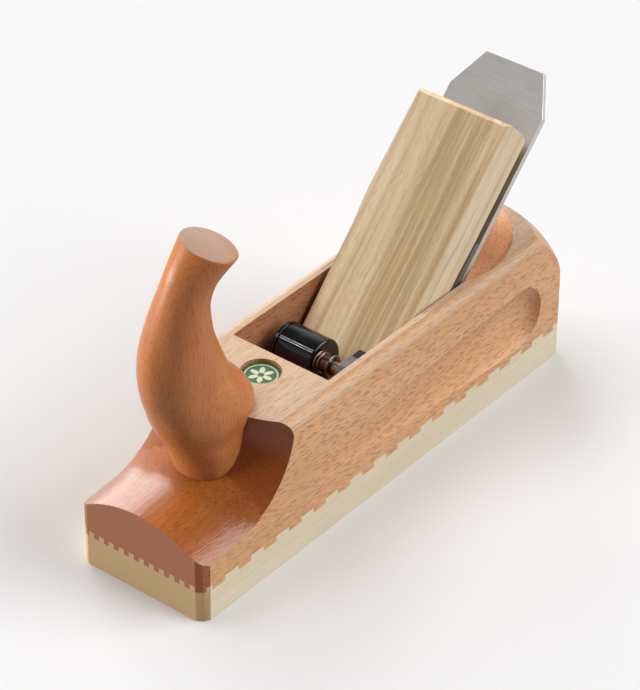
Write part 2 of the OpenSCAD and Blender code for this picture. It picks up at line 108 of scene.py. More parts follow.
def wood(name, look, grain, radial, pith_mm, centre_mm):
    """Solid wood. Every point is given its height along the grain, its distance from the pith and its
    place round the pith. Rings depend on the distance, rays are thin sheets that run from the pith, and
    fibres are long along the grain. A face that is cut across the grain shows the colours of end grain.
    Where the look is burnished, a face attribute holds a tint for each face, which on some faces is painted
    light and on the throat's cheeks painted shade, and in alpha how far the face is burnished smooth and
    glossy, and "fleck" holds how strongly the rays show on it."""
    material, tree = new_material(name)
    grain, radial = (np.array(v, float) / np.linalg.norm(v) for v in (grain, radial))
    tangent = np.cross(grain, radial)
    place = add(tree, "TexCoord")
    shifted = add(tree, "VectorMath", place.outputs["Object"], [c * MM for c in centre_mm],
                  operation="SUBTRACT")
    scaled = add(tree, "Mapping", shifted, inputs=dict(Scale=(BENDS_PER_M,) * 3))
    bends = add(tree, "TexNoise", scaled, inputs=dict(Scale=1, Detail=1))
    centred = add(tree, "VectorMath", bends.outputs["Color"], (0.5, 0.5, 0.5), operation="SUBTRACT")
    sway = add(tree, "VectorMath", centred, look["sway_mm"] * MM, operation="SCALE")
    point = add(tree, "VectorMath", shifted, sway, operation="ADD")
    along, out, side = (add(tree, "VectorMath", point, axis, operation="DOT_PRODUCT")
                        for axis in (grain, radial, tangent))
    from_pith = add(tree, "Math", out, pith_mm * MM, operation="ADD")
    slope = add(tree, "Math", side, from_pith, operation="DIVIDE")
    round_pith = add(tree, "Math", slope, pith_mm, operation="MULTIPLY")
    squares = [add(tree, "Math", length, length, operation="MULTIPLY") for length in (from_pith, side)]
    distance = add(tree, "Math", add(tree, "Math", *squares, operation="ADD"), operation="SQRT")

    def stretched(across, deep, length):
        """Coordinates counted in grains of the given size in millimetres."""
        counts = (round_pith, 1 / across), (distance, 1 / (deep * MM)), (along, 1 / (length * MM))
        return add(tree, "CombineXYZ", *(add(tree, "Math", *count, operation="MULTIPLY") for count in counts))

    years = add(tree, "TexNoise", stretched(YEARS_ROUND_MM, look["ring_mm"] * YEARS_RINGS, YEARS_LONG_MM),
                inputs=dict(Scale=1, Detail=1))
    swing = add(tree, "Math", years, YEARS_SWING, operation="MULTIPLY")
    count = add(tree, "Math", distance, 1 / (look["ring_mm"] * MM), swing, operation="MULTIPLY_ADD")
    ring = add(tree, "Math", count, operation="FRACT")
    late = add(tree, "Math", add(tree, "MapRange", ring, LATE_FROM, LATE_TO, **STEP),
               add(tree, "MapRange", ring, LATE_TO, 1, 1, 0, **STEP), operation="MULTIPLY")
    fibre = add(tree, "TexNoise", stretched(*FIBRE_MM), inputs=dict(Scale=1, Detail=3))
    cloud = add(tree, "TexNoise", stretched(*CLOUD_MM), inputs=dict(Scale=1, Detail=2))
    cells = add(tree, "TexVoronoi", stretched(*look["ray_mm"]), inputs=dict(Scale=1, Randomness=1))
    sheet = add(tree, "MapRange", cells, look["ray_size"] * RAY_EDGE, look["ray_size"], 1, 0, **STEP)
    shown = add(tree, "MapRange", cells.outputs["Color"], 0, 0.5, RAY_FAINTEST, 1, **STEP)
    ray = add(tree, "Math", sheet, shown, operation="MULTIPLY")
    end = add(tree, "VectorMath", place.outputs["Normal"], grain, operation="DOT_PRODUCT")
    end = add(tree, "Math", end, operation="ABSOLUTE")
    cut_across = add(tree, "MapRange", end, *look["end_from_to"], **STEP)
    if look["burnished"]:
        fleck = add(tree, "Attribute", attribute_name="fleck")
        ray = add(tree, "Math", ray, fleck.outputs["Fac"], operation="MULTIPLY")
        tint_and_painted_light = add(tree, "Attribute", attribute_name="finish_and_painted_light")
        open_grain = add(tree, "Math", 1, tint_and_painted_light.outputs["Alpha"], operation="SUBTRACT")
        cut_across = add(tree, "Math", cut_across, open_grain, operation="MULTIPLY")

    late_tone = colour(look["late"])
    tone = add(tree, "Mix", add(tree, "MapRange", cloud, 0.3, 0.7, **STEP), colour(look["light"]),
               colour(look["mid"]), **BLEND)
    tone = add(tree, "Mix", add(tree, "Math", late, look["ring_share"], operation="MULTIPLY"), tone,
               late_tone, **BLEND)
    tone = add(tree, "Mix", add(tree, "MapRange", fibre, 0.35, 0.75, 0, look["fibre_share"], **STEP), tone,
               late_tone, **BLEND)
    if "heart_mm" in look:
        streak = add(tree, "TexNoise", stretched(*look["streak_mm"]), inputs=dict(Scale=1, Detail=2.5))
        middle, half = look["heart_mm"]
        off_heart = add(tree, "Math", add(tree, "Math", side, middle * MM, operation="SUBTRACT"),
                        operation="ABSOLUTE")
        heart = add(tree, "MapRange", off_heart, HEART_CORE * half * MM, half * MM, HEART_PULL, 0, **STEP)
        heart = add(tree, "Math", streak, heart, operation="ADD")
        heart = add(tree, "MapRange", heart, *HEART_SHOWS, 0, HEART_SHARE, **STEP)
        tone = add(tree, "Mix", heart, tone, colour(look["heart"]), **BLEND)
    tone = add(tree, "Mix", add(tree, "Math", ray, look["ray_share"], operation="MULTIPLY"), tone,
               colour(look["ray"]), **BLEND)
    ends = add(tree, "Mix", add(tree, "Math", late, look["end_ring_share"], operation="MULTIPLY"),
               colour(look["end"]), colour(look["end_late"]), **BLEND)
    tone = add(tree, "Mix", cut_across, tone, ends, **BLEND)
    coat = look["coat"]
    if look["burnished"]:
        # The face tint multiplies the tone: on some faces it is the wood's own tint, on others painted light
        # and shade.
        tone = add(tree, "Mix", 1, tone, tint_and_painted_light, blend_type="MULTIPLY", **BLEND)
        if look["burnished"] != coat:
            coat = add(tree, "MapRange", tint_and_painted_light.outputs["Alpha"], 0, 1, coat, look["burnished"], **STEP)
    relief = add(tree, "Math", ray, RAY_DEPTH, fibre, operation="MULTIPLY_ADD")
    bump = add(tree, "Bump", inputs=dict(Height=relief, Strength=look["bump"], Distance=RELIEF_MM * MM))
    rough = add(tree, "MapRange", fibre, 0.2, 0.8, look["rough"] + SMOOTHER, look["rough"] + ROUGHER, **STEP)
    add(tree, "OutputMaterial", add(tree, "BsdfPrincipled", inputs={
        "Base Color": tone, "Roughness": rough, "Specular IOR Level": look["gloss"], "Normal": bump,
        "Coat Weight": coat, "Coat Roughness": look["coat_rough"], "Coat Normal": bump}))
    return material


def smooth(mesh, sharp=SHARP):
    """Smooth shading, broken at edges that turn by more than the sharp angle."""
    mesh.polygons.foreach_set("use_smooth", np.ones(len(mesh.polygons), bool))
    mesh.set_sharp_from_angle(angle=sharp)
    mesh.update()


def softened_copy(name, node, edge_mm, sharp=SHARP):
    """The CAD node's mesh as a new piece: its loose triangles are merged, flat faces are joined, and a
    narrow bevel runs along every sharp edge, as a real edge has."""
    mesh = bpy.data.meshes.new(name)
    shape = bmesh.new()
    shape.from_mesh(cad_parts[node].data)
    bmesh.ops.remove_doubles(shape, verts=shape.verts, dist=1e-6)
    bmesh.ops.dissolve_limit(shape, angle_limit=math.radians(0.2), verts=shape.verts, edges=shape.edges)
    shape.to_mesh(mesh)
    shape.free()
    piece = bpy.data.objects.new(name, mesh)
    bpy.context.scene.collection.objects.link(piece)
    bevel = piece.modifiers.new("edges", "BEVEL")
    bevel.width = edge_mm * MM
    bevel.segments = 2
    bevel.limit_method = "ANGLE"
    bevel.angle_limit = sharp
    bevel.miter_outer = "MITER_ARC"
    bevel.use_clamp_overlap = True
    smooth(mesh, sharp)
    normals = piece.modifiers.new("flat faces", "WEIGHTED_NORMAL")
    normals.keep_sharp = True
    return piece


def fit(piece, material, body, node):
    """Gives a piece its material, lets it ride on its body and hides its CAD node."""
    piece.data.materials.clear()
    piece.data.materials.append(material)
    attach(piece, body)
    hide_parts(node)


# Steamed beech is an even pinkish brown, with short dark flecks where its rays are cut and darker ends.
BEECH = dict(light="#E8B282", mid="#DFA876", late="#C48A5C", ray="#8A4418", end="#B3724E",
             end_late="#9A5938", ring_mm=2.0, ring_share=0.2, end_ring_share=0.4, fibre_share=0.3,
             ray_mm=(0.27, 1.2, 7), ray_size=0.33, ray_share=0.9, sway_mm=1.5, end_from_to=(0.3, 0.75),
             bump=0.7, rough=0.42, gloss=0.2, coat=0.25, coat_rough=0.11, burnished=1.0)
beech = wood("oiled steamed beech", BEECH, grain=(0, 1, -0.12), radial=(0.59, 0, 0.81), pith_mm=160,
             centre_mm=(0, 0, 33))
block = softened_copy("beech_block", "body", edge_mm=0.35, sharp=math.radians(14))

# Where the worked faces lie, in mm from the middle of the sole's underside, how far a face has to look along
# an axis to count as one of them, how far each is burnished, and how strongly it shows the rays.
TOE_Y, CORNER_X, CORNER_Y = -119.9, 28, 115
RIM_X, RIM_Z = 27, 55
CHEEK_X, CHEEK_Y = 26, 80
HOLLOW_X, HOLLOW_Y, HOLLOW_Z, HEEL_Y = 20, 50, 40, 100
MILLED_X, MILLED_Z, MILLED_Y, MILLED_WALL_Y, BARE_WALL_Y = 32.4, (20, 66.4), -60, -80, -84
BARELY, LITTLE, ASLANT, HEELWARD, MOSTLY, FULLY = 0.05, 0.2, 0.3, 0.4, 0.9, 0.99
HOLLOW_BURNISH, SADDLE_BURNISH, WALL_BURNISH = 0.6, 1, 0.3
DECK_FLECK, RIM_FLECK = 0.55, 0.6
PLAIN, SAWN = (1, 1, 1), (0.72, 0.7, 0.7)


def finish_and_painted_light(piece, corner, toe=SAWN, deck_and_painted_sheen=PLAIN, rim=PLAIN, cheek_painted_shade=PLAIN, hollow_painted_highlight=PLAIN, saddle=PLAIN):
    """Stores a tint and a burnish for each face: the rounded rim and the planed top, which meet crisply,
    the throat's cheeks, the scoop behind the iron, the sawn toe, the cut corners, whose faces look aslant
    along both level axes, and the toe's saddle, whose rear wall is burnished less. The tints of the top and
    the rim are partly paler planed wood and partly painted sheen, the cheeks' tint is painted shade and the
    scoop's tint is a painted highlight."""
    mesh = piece.data
    at, facing = (np.zeros(len(mesh.polygons) * 3) for _ in range(2))
    mesh.polygons.foreach_get("center", at)
    mesh.polygons.foreach_get("normal", facing)
    x, y, z = at.reshape(-1, 3).T / MM
    nx, ny, nz = facing.reshape(-1, 3).T
    level = nz > FULLY
    on_rim = (nz > ASLANT) & (abs(x) > RIM_X) & (z > RIM_Z)
    on_cheek = (abs(nx) > MOSTLY) & (abs(x) < CHEEK_X) & (abs(y) < CHEEK_Y)
    in_hollow = (abs(x) < HOLLOW_X) & (y > HOLLOW_Y) & (z > HOLLOW_Z) & (nz > BARELY) & ~level
    in_hollow &= (y < HEEL_Y) | (ny < 0)
    on_corner = (abs(x) > CORNER_X) & (abs(y) > CORNER_Y)
    on_corner &= (abs(nx) > ASLANT) & (abs(ny) > ASLANT) & (abs(nz) < LITTLE)
    in_saddle = (abs(x) < MILLED_X) & (y > TOE_Y) & (y < MILLED_Y) & (z > MILLED_Z[0]) & (z < MILLED_Z[1])
    in_saddle &= (nz > BARELY) | (y > MILLED_WALL_Y)
    face_tints_and_painted_light = np.tile([1.0, 1.0, 1.0, 0.0], (len(x), 1))
    for faces, tint, burnish in ((on_rim & (ny < HEELWARD), rim, 0), (level, deck_and_painted_sheen, 0), (on_cheek, cheek_painted_shade, 0),
                                 (in_hollow, hollow_painted_highlight, HOLLOW_BURNISH), (y < TOE_Y, toe, 0),
                                 (on_corner, corner, 0), (in_saddle, saddle, SADDLE_BURNISH)):
        face_tints_and_painted_light[faces] = (*tint, burnish)
    face_tints_and_painted_light[in_saddle & (y > BARE_WALL_Y), 3] = WALL_BURNISH
    fleck = np.where(level, DECK_FLECK, 1.0)
    fleck[on_rim & ~level] = RIM_FLECK
    attribute = mesh.attributes.new("finish_and_painted_light", "FLOAT_COLOR", "FACE")
    attribute.data.foreach_set("color", face_tints_and_painted_light.astype(np.float32).ravel())
    attribute = mesh.attributes.new("fleck", "FLOAT", "FACE")
    attribute.data.foreach_set("value", fleck.astype(np.float32))
    shape = bmesh.new()
    shape.from_mesh(mesh)
    for edge in shape.edges:
        if len({bool(level[face.index]) for face in edge.link_faces}) == 2:
            edge.smooth = False
    shape.to_mesh(mesh)
    shape.free()


# The pale bluish tints of the top and the rim are partly paler planed wood and partly painted sheen, the
# cheeks' dark tint is painted shade in the throat, and the scoop's light tint is a painted highlight.
finish_and_painted_light(block, corner=(0.79, 0.57, 0.43), deck_and_painted_sheen=(0.84, 1.1, 1.54), rim=(0.8, 0.9, 1.02),
       cheek_painted_shade=(0.6, 0.5, 0.52), hollow_painted_highlight=(1.35, 1.4, 1.5), saddle=(0.55, 0.29, 0.09))
fit(block, beech, "block", "body")

# Sole: a slab of hornbeam, harder and paler than the block, glued on with slanting fingers whose ends
# show as a row of steps along both sides and across the toe. Planed hornbeam is cream white and dull.
HORNBEAM = dict(light="#F0E2C8", mid="#E9DABC", late="#D6C29C", ray="#C8B084", end="#D2B382",
                end_late="#C3A170", ring_mm=3.0, ring_share=0.12, end_ring_share=0.2, fibre_share=0.2,
                ray_mm=(0.4, 3, 6), ray_size=0.3, ray_share=0.2, sway_mm=1.5, end_from_to=(0.3, 0.75),
                bump=0.4, rough=0.5, gloss=0.3, coat=0.1, coat_rough=0.3, burnished=0.3)
hornbeam = wood("planed hornbeam", HORNBEAM, grain=(0, 1, 0.02), radial=(0.2, 0, 0.98), pith_mm=200,
                centre_mm=(0, 0, 8))
sole = softened_copy("hornbeam_sole", "sole", edge_mm=0.3)
finish_and_painted_light(sole, corner=(1.09, 0.97, 0.85))
fit(sole, hornbeam, "block", "sole")

# Horn: the front handle, carved and sanded from beech with its grain running up the handle, glued into
# the saddle over a dowel. Its top is sawn flat with a small rounding at the edge, and sanding leaves a
# soft sheen on the rest.
HORN_STATIONS = np.array([  # height, place along the length, half depth, half width, place across, in mm
    [38, -81, 8.9, 10.8, -0.1], [43.7, -80.4, 12.7, 13.8, 0.1], [51.6, -79.7, 16.4, 14.2, 0.9],
    [60.7, -80.8, 20, 15.2, 0.4], [69.8, -81.6, 24.2, 17.6, 0], [78.9, -85.6, 24, 16.6, 0],
    [88, -91.3, 22.1, 14.2, 0], [97.1, -94.5, 20.7, 14, 0], [106.2, -96.4, 18.5, 13.7, 0],
    [115.3, -97.2, 15.5, 12.6, 0], [124.3, -97.1, 13, 11.3, 0], [133.4, -96.3, 10.9, 10, 0],
    [142.5, -93.2, 10.4, 10, 0], [151.6, -85.6, 11.7, 11.7, 0]])
HORN_TURN_MM, HORN_LEAN_MM, HORN_TILT = 72, 8, math.radians(15.5)
HORN_EDGE_SHRINK, HORN_EDGE_LIFT_MM = (0.975, 0.95, 0.0), (0.45, 0.6, 0.6)
SADDLE_R, CROWN_R, SADDLE_Y, SADDLE_Z, SADDLE_FALL = 27.8, 53.4, -102.5, 67, math.radians(3.6)
DECK_Z, SEAT_GAP_MM = 66.5, 0.02


def skin(name, rings):
    """A closed piece over rings of points, given as an array of rings by points by 3 in millimetres. The
    first and the last ring shrink to one point each, so the skin is closed at both ends."""
    m, n, _ = rings.shape
    mesh = bpy.data.meshes.new(name)
    i, j = np.meshgrid(np.arange(m - 1), np.arange(n), indexing="ij")
    k = (j + 1) % n
    quads = np.stack([i * n + j, i * n + k, (i + 1) * n + k, (i + 1) * n + j], -1).reshape(-1, 4)
    mesh.from_pydata((rings.reshape(-1, 3) * MM).tolist(), [], quads.tolist())
    shape = bmesh.new()
    shape.from_mesh(mesh)
    bmesh.ops.remove_doubles(shape, verts=shape.verts, dist=1e-7)
    bmesh.ops.recalc_face_normals(shape, faces=shape.faces)
    shape.to_mesh(mesh)
    shape.free()
    smooth(mesh)
    piece = bpy.data.objects.new(name, mesh)
    bpy.context.scene.collection.objects.link(piece)
    return piece


def through(stations, q):
    """Smooth curve through stations: a cubic between each pair, whose slope at a station is half the
    way from its neighbour before to its neighbour after."""
    last = len(stations) - 1
    i = np.minimum(q.astype(int), last - 1)
    t = (q - i)[:, None]
    a, b, c, d = (stations[np.clip(i + k, 0, last)] for k in (-1, 0, 1, 2))
    return b + 0.5 * (t * (c - a) + t ** 2 * (2 * a - 5 * b + 4 * c - d) + t ** 3 * (3 * b - a - 3 * c + d))


def saddle_height(x, y):
    """Height of the saddle under the horn: the waisted cutter's radius grows away from the middle, its
    arc rises to the deck behind its axis, and its floor falls in a line in front of it."""
    radius = SADDLE_R + CROWN_R - np.sqrt(CROWN_R ** 2 - x ** 2)
    arc = SADDLE_Z - np.sqrt(np.clip(radius ** 2 - (y - SADDLE_Y) ** 2, 0, None))
    line = SADDLE_Z + ((y - SADDLE_Y) * math.sin(SADDLE_FALL) - radius) / math.cos(SADDLE_FALL)
    ahead = (y - SADDLE_Y) * math.cos(SADDLE_FALL) + (line - SADDLE_Z) * math.sin(SADDLE_FALL) < 0
    return np.minimum(np.where(ahead, line, arc), DECK_Z) + SEAT_GAP_MM


def horn_rings(count, around):
    """Ellipses up the horn that shift to the right and tilt sideways and to the rear towards the top.
    The last few shrink towards the middle, and none reaches below the saddle."""
    top = len(HORN_STATIONS) - 1
    s = through(HORN_STATIONS, np.append(np.linspace(0, top, count), [top] * len(HORN_EDGE_SHRINK)))
    shrink = np.append(np.ones(count), HORN_EDGE_SHRINK)
    lift = np.append(np.zeros(count), HORN_EDGE_LIFT_MM)
    shrink[0] = 0
    rise = np.clip(s[:, 0] - HORN_TURN_MM, 0, None) / (HORN_STATIONS[-1, 0] - HORN_TURN_MM)
    tilt = (HORN_TILT * rise ** 2 * (3 - 2 * rise))[:, None]
    turn = np.linspace(0, 2 * np.pi, around, endpoint=False)
    u = (s[:, 3] * shrink)[:, None] * np.cos(turn)
    v = (s[:, 2] * shrink)[:, None] * np.sin(turn)
    x = (s[:, 4] + HORN_LEAN_MM * rise ** 2)[:, None] + u * np.cos(tilt)
    y = s[:, 1, None] + v * np.cos(tilt)
    z = (s[:, 0] + lift - HORN_EDGE_LIFT_MM[-1])[:, None] - (u + v) * np.sin(tilt)
    return np.stack([x, y, np.maximum(z, saddle_height(x, y))], -1)


HORN_WOOD = dict(BEECH, light="#C47B47", mid="#BA703D", late="#9A582C", ray="#6A3A1E", end="#B89680",
                 end_late="#9C7864", ring_mm=1.6, ring_share=0.15, end_ring_share=0.5,
                 ray_mm=(0.42, 0.9, 7), ray_size=0.31, ray_share=0.5, end_from_to=(0.75, 0.88), rough=0.36,
                 gloss=0.15, coat=0.2, coat_rough=0.28, burnished=None)
horn_wood = wood("sanded and oiled beech handle", HORN_WOOD, grain=(0.06, -0.12, 1), radial=(-0.62, 0.78, 0),
                 pith_mm=90, centre_mm=(0, -85, 90))
horn = skin("carved_horn", horn_rings(count=120, around=96))
fit(horn, horn_wood, "block", "horn")

# Dowel: a turned hornbeam dowel that ties the horn to the block. It is glued into both and hidden, so the
# CAD solid is shown as it is.
plain_hornbeam = wood("turned hornbeam", dict(HORNBEAM, burnished=None), grain=(0, 1, 0),
                      radial=(0.3, 0, 0.95), pith_mm=120, centre_mm=(0, 110, 33))
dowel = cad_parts["horn_dowel"]
dowel.data.materials.clear()
dowel.data.materials.append(plain_hornbeam)

# Label: a round disc of smooth paper, printed in two colours with a ring and a rosette of six petals, and
# glued to the bottom of its drilled recess. The ink has a slight sheen.
RING_MM, PETAL_FROM_MM, PETAL_LONG_MM, EYE_MM, INK_EDGE_MM = (6.4, 7.0), 1.2, 4.2, (1.3, 1.5), 0.1
PETAL_TURNS = 3.0
paper, tree = new_material("printed paper disc")
low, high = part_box("label_disc")
centred = add(tree, "VectorMath", add(tree, "TexCoord").outputs["Object"], (low + high) / 2,
              operation="SUBTRACT")
across = add(tree, "VectorMath", centred, (1, 1, 0), operation="MULTIPLY")
radius = add(tree, "VectorMath", across, operation="LENGTH")
inner, outer = (((r - INK_EDGE_MM) * MM, (r + INK_EDGE_MM) * MM) for r in RING_MM)
ring = add(tree, "Math", add(tree, "MapRange", radius, *inner, **STEP),
           add(tree, "MapRange", radius, *outer, 1, 0, **STEP), operation="MULTIPLY")
parts = add(tree, "SeparateXYZ", across)
angle = add(tree, "Math", parts.outputs["Y"], parts.outputs["X"], operation="ARCTAN2")
wave = add(tree, "Math", add(tree, "Math", angle, PETAL_TURNS, operation="MULTIPLY"), operation="COSINE")
petal = add(tree, "Math", add(tree, "Math", wave, operation="ABSOLUTE"), PETAL_LONG_MM * MM,
            PETAL_FROM_MM * MM, operation="MULTIPLY_ADD")
inside = add(tree, "Math", petal, radius, operation="SUBTRACT")
flower = add(tree, "Math", add(tree, "MapRange", inside, 0, INK_EDGE_MM * MM, **STEP),
             add(tree, "MapRange", radius, *(r * MM for r in EYE_MM), **STEP), operation="MULTIPLY")
ink = add(tree, "Mix", add(tree, "Math", ring, flower, operation="MAXIMUM"), colour("#286B42"),
          colour("#D6D4B4"), **BLEND)
add(tree, "OutputMaterial", add(tree, "BsdfPrincipled", ink, inputs=dict(Roughness=0.35)))
fit(softened_copy("printed_disc", "label_disc", edge_mm=0.05), paper, "block", "label_disc")

# Strike button: a plug of hornbeam, turned with a stem and a domed head. It is glued into the heel and
# takes the hammer when the iron is knocked loose.
BUTTON_R, STEM_R, CHAMFER_MM, ROUNDING_MM, DOME_MM = 13, 7, 0.3, 2.2, 0.5


def turned(name, profile, centre_mm, axis, around=96):
    """A turned piece: each row of the profile is a distance along the axis and a radius in millimetres,
    carried round the axis through the centre."""
    profile = np.asarray(profile, float)
    axis = np.asarray(axis, float)
    first = np.cross(axis, (0, 0, 1))
    first /= np.linalg.norm(first)
    second = np.cross(axis, first)
    turn = np.linspace(0, 2 * np.pi, around, endpoint=False)[:, None]
    spoke = np.cos(turn) * first + np.sin(turn) * second
    centre = np.asarray(centre_mm, float)
    return skin(name, centre + profile[:, 0, None, None] * axis + profile[:, 1, None, None] * spoke)


def rounded(along, radius, soft, count=6):
    """Quarter circle from the outer surface into the far end face, as rows of a profile."""
    angle = np.linspace(0, np.pi / 2, count)
    return np.stack([along + soft * np.sin(angle) - soft, radius - soft + soft * np.cos(angle)], -1)


low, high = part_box("strike_button")
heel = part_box("body")[1].y / MM
foot, top = low.y / MM, high.y / MM
stem = [[foot, 0], [foot, STEM_R], [heel, STEM_R], [heel, BUTTON_R - CHAMFER_MM],
        [heel + CHAMFER_MM, BUTTON_R]]
dome = [[top - DOME_MM * (r / (BUTTON_R - ROUNDING_MM)) ** 2, r] for r in np.linspace(10, 0, 8)]
profile = np.vstack([stem, rounded(top - DOME_MM, BUTTON_R, ROUNDING_MM), dome])
button = turned("strike_button_turned", profile, (0, 0, (low.z + high.z) / 2 / MM), (0, 1, 0))
fit(button, plain_hornbeam, "block", "strike_button")

# Cutting iron: a flat bar of tool steel, ground on both faces and stained a little by the hardening,
# with bright ground edges and a slot for the cap screw. It lies on the bed under the wedge.
STAINS_PER_M, LINE_SHARE, LINE_DEPTH_MM = 32, 0.25, 0.01


def steel(name, tone, dark, rough, lines, stain):
    """Ground or turned steel and brass, a grey or yellow metal whose tool lines draw out its gloss. The
    lines are counted per metre along each axis: real ones lie closer than 0.1 mm, so they are drawn a few
    times coarser to show. A soft cloud of stains covers the given share."""
    material, tree = new_material(name)
    place = add(tree, "TexCoord")
    scaled = add(tree, "Mapping", place.outputs["Object"], inputs=dict(Scale=lines))
    tool_lines = add(tree, "TexNoise", scaled, inputs=dict(Scale=1, Detail=4, Roughness=0.6))
    cloud = add(tree, "TexNoise", place.outputs["Object"], inputs=dict(Scale=STAINS_PER_M, Detail=5))
    shade = add(tree, "Mix", add(tree, "MapRange", cloud, 0.4, 0.75, 0, stain, **STEP), colour(tone),
                colour(dark), **BLEND)
    shade = add(tree, "Mix", add(tree, "MapRange", tool_lines, 0.35, 0.7, 0, LINE_SHARE, **STEP), shade,
                colour(dark), **BLEND)
    gloss = add(tree, "MapRange", tool_lines, 0.2, 0.8, rough - 0.06, rough + 0.08, **STEP)
    bump = add(tree, "Bump", inputs=dict(Height=tool_lines, Strength=0.25, Distance=LINE_DEPTH_MM * MM))
    add(tree, "OutputMaterial", add(tree, "BsdfPrincipled", inputs={
        "Base Color": shade, "Metallic": 1, "Roughness": gloss, "Normal": bump}))
    return material


iron_steel = steel("ground tool steel", "#CBC7C3", "#928C86", rough=0.38, lines=(60, 2400, 2400), stain=0.5)
fit(softened_copy("ground_iron", "cutting_iron", edge_mm=0.25), iron_steel, "iron",
    "cutting_iron")

# Cap iron: the chip breaker, a darker rolled steel plate with a rounded nose. The cap screw draws it
# against the cutting iron, so that its nose presses on the iron just behind the edge.
cap_steel = steel("dull rolled steel", "#7E7976", "#4E4744", rough=0.45, lines=(300, 900, 900), stain=0.5)
fit(softened_copy("rolled_cap_iron", "cap_iron", edge_mm=0.2), cap_steel, "cap", "cap_iron")

# Screw and bush: a slotted steel screw whose head lies under the cutting iron, in a groove of the bed. It
# turns in a brass bush that is riveted into the cap iron.
brass = steel("turned brass", "#C9A45E", "#8F6B34", rough=0.32, lines=(1500, 1500, 1500), stain=0.2)
fit(softened_copy("riveted_bush", "screw_bush", edge_mm=0.15), brass, "cap", "screw_bush")
fit(softened_copy("slotted_cap_screw", "cap_screw", edge_mm=0.2), cap_steel, "screw",
    "cap_screw")

# Wedge: a long hornbeam wedge that holds the irons on the bed, planed and left almost bare, with brown
# heart streaks along its front face and paler edges.
WEDGE_WOOD = dict(HORNBEAM, light="#E8D4B2", mid="#DDC49C", late="#C4A476", ray="#8A6440", heart="#A2804E",
                  end="#C4AA82", end_late="#B69A72", heart_mm=(7, 16), streak_mm=(3, 4, 160), ring_mm=4,
                  ray_mm=(0.42, 1.2, 7), ray_size=0.3, ray_share=0.35, end_from_to=(0.6, 0.9),
                  burnished=0.1)
wedge_wood = wood("planed hornbeam wedge", WEDGE_WOOD, grain=(0, 1, 1), radial=(0.35, -0.66, 0.66),
                  pith_mm=140, centre_mm=(0, 40, 70))
BED = math.radians(45)
ROUND_MM, ROUND_CUTS = 8, 7
# The front face's tint lightens it as painted light, as more light falling on it would; the sides get a
# slighter tint.
SIDE_TINT, FACE_PAINTED_LIGHT, SIDE_FLECK = (1.02, 1.04, 1.1, 0), (1.18, 1.17, 1.16, 0), 0.5
up_bed = np.array([0, math.cos(BED), math.sin(BED)])
off_bed = np.array([0, -math.sin(BED), math.cos(BED)])


def rounded_off(piece, centre, radius, cuts):
    """Rounds the wedge's upper rear corner: planes it off with cuts that touch a circle about the centre,
    turned in equal steps from the bed's direction to the wedge's end."""
    shape = bmesh.new()
    shape.from_mesh(piece.data)
    for step in range(1, cuts + 1):
        angle = math.radians(90 * step / (cuts + 1))
        out = math.sin(angle) * up_bed - math.cos(angle) * off_bed
        cut = bmesh.ops.bisect_plane(shape, geom=shape.verts[:] + shape.edges[:] + shape.faces[:], dist=1e-7,
                                     plane_co=centre + radius * out, plane_no=out, clear_outer=True)
        rim = [part for part in cut["geom_cut"] if isinstance(part, bmesh.types.BMEdge)]
        if rim:
            bmesh.ops.contextual_create(shape, geom=rim)
    bmesh.ops.recalc_face_normals(shape, faces=shape.faces)
    shape.to_mesh(piece.data)
    shape.free()
    smooth(piece.data)


points = np.array([vertex.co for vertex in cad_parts["wedge"].data.vertices])
wedge = softened_copy("planed_wedge", "wedge", edge_mm=0.4)
end_line = up_bed * ((points @ up_bed).max() - ROUND_MM * MM)
rear_line = off_bed * ((points @ off_bed).min() + ROUND_MM * MM)
rounded_off(wedge, end_line + rear_line, ROUND_MM * MM, ROUND_CUTS)
sides = np.array([abs(face.normal.x) > MOSTLY for face in wedge.data.polygons])
face_tints_and_painted_light = np.where(sides[:, None], SIDE_TINT, FACE_PAINTED_LIGHT).astype(np.float32)
fleck = np.where(sides, SIDE_FLECK, 1.0).astype(np.float32)
wedge.data.attributes.new("finish_and_painted_light", "FLOAT_COLOR", "FACE").data.foreach_set("color", face_tints_and_painted_light.ravel())
wedge.data.attributes.new("fleck", "FLOAT", "FACE").data.foreach_set("value", fleck)
fit(wedge, wedge_wood, "wedge", "wedge")

# Spindle: a turned and oiled steel rod that runs in the right cheek's bush and carries the roller on its
# free end, in the throat.
spindle_steel = steel("oiled turned steel", "#9A8F80", "#5E554C", rough=0.26, lines=(2500, 40, 40),
                      stain=0.3)
fit(softened_copy("turned_spindle", "cross_spindle", edge_mm=0.2), spindle_steel, "eccentric",
    "cross_spindle")

# Roller: moulded in glossy black plastic and pressed on the spindle off its centre, with a round plate at
# its left end and a thin groove before it. The bush in the right cheek is of the same plastic. Its grit, of
# about 1 mm, is drawn coarser than a real mould's, so that the gloss breaks up enough to show.
GRIT_PER_M, WEAR_PER_M, GRIT_DEPTH_MM = 900, 160, 0.01
black_plastic, tree = new_material("glossy black moulded plastic")
place = add(tree, "TexCoord").outputs["Object"]
grit = add(tree, "TexNoise", place, inputs=dict(Scale=GRIT_PER_M, Detail=3))
wear = add(tree, "TexNoise", place, inputs=dict(Scale=WEAR_PER_M, Detail=4))
black = add(tree, "Mix", add(tree, "MapRange", wear, 0.4, 0.7, **STEP), colour("#0C0C0E"), colour("#161619"),
            **BLEND)
gloss = add(tree, "MapRange", wear, 0.35, 0.7, 0.08, 0.16, **STEP)
bump = add(tree, "Bump", inputs=dict(Height=grit, Strength=0.1, Distance=GRIT_DEPTH_MM * MM))
add(tree, "OutputMaterial", add(tree, "BsdfPrincipled", inputs={
    "Base Color": black, "Roughness": gloss, "IOR": 1.5, "Normal": bump}))
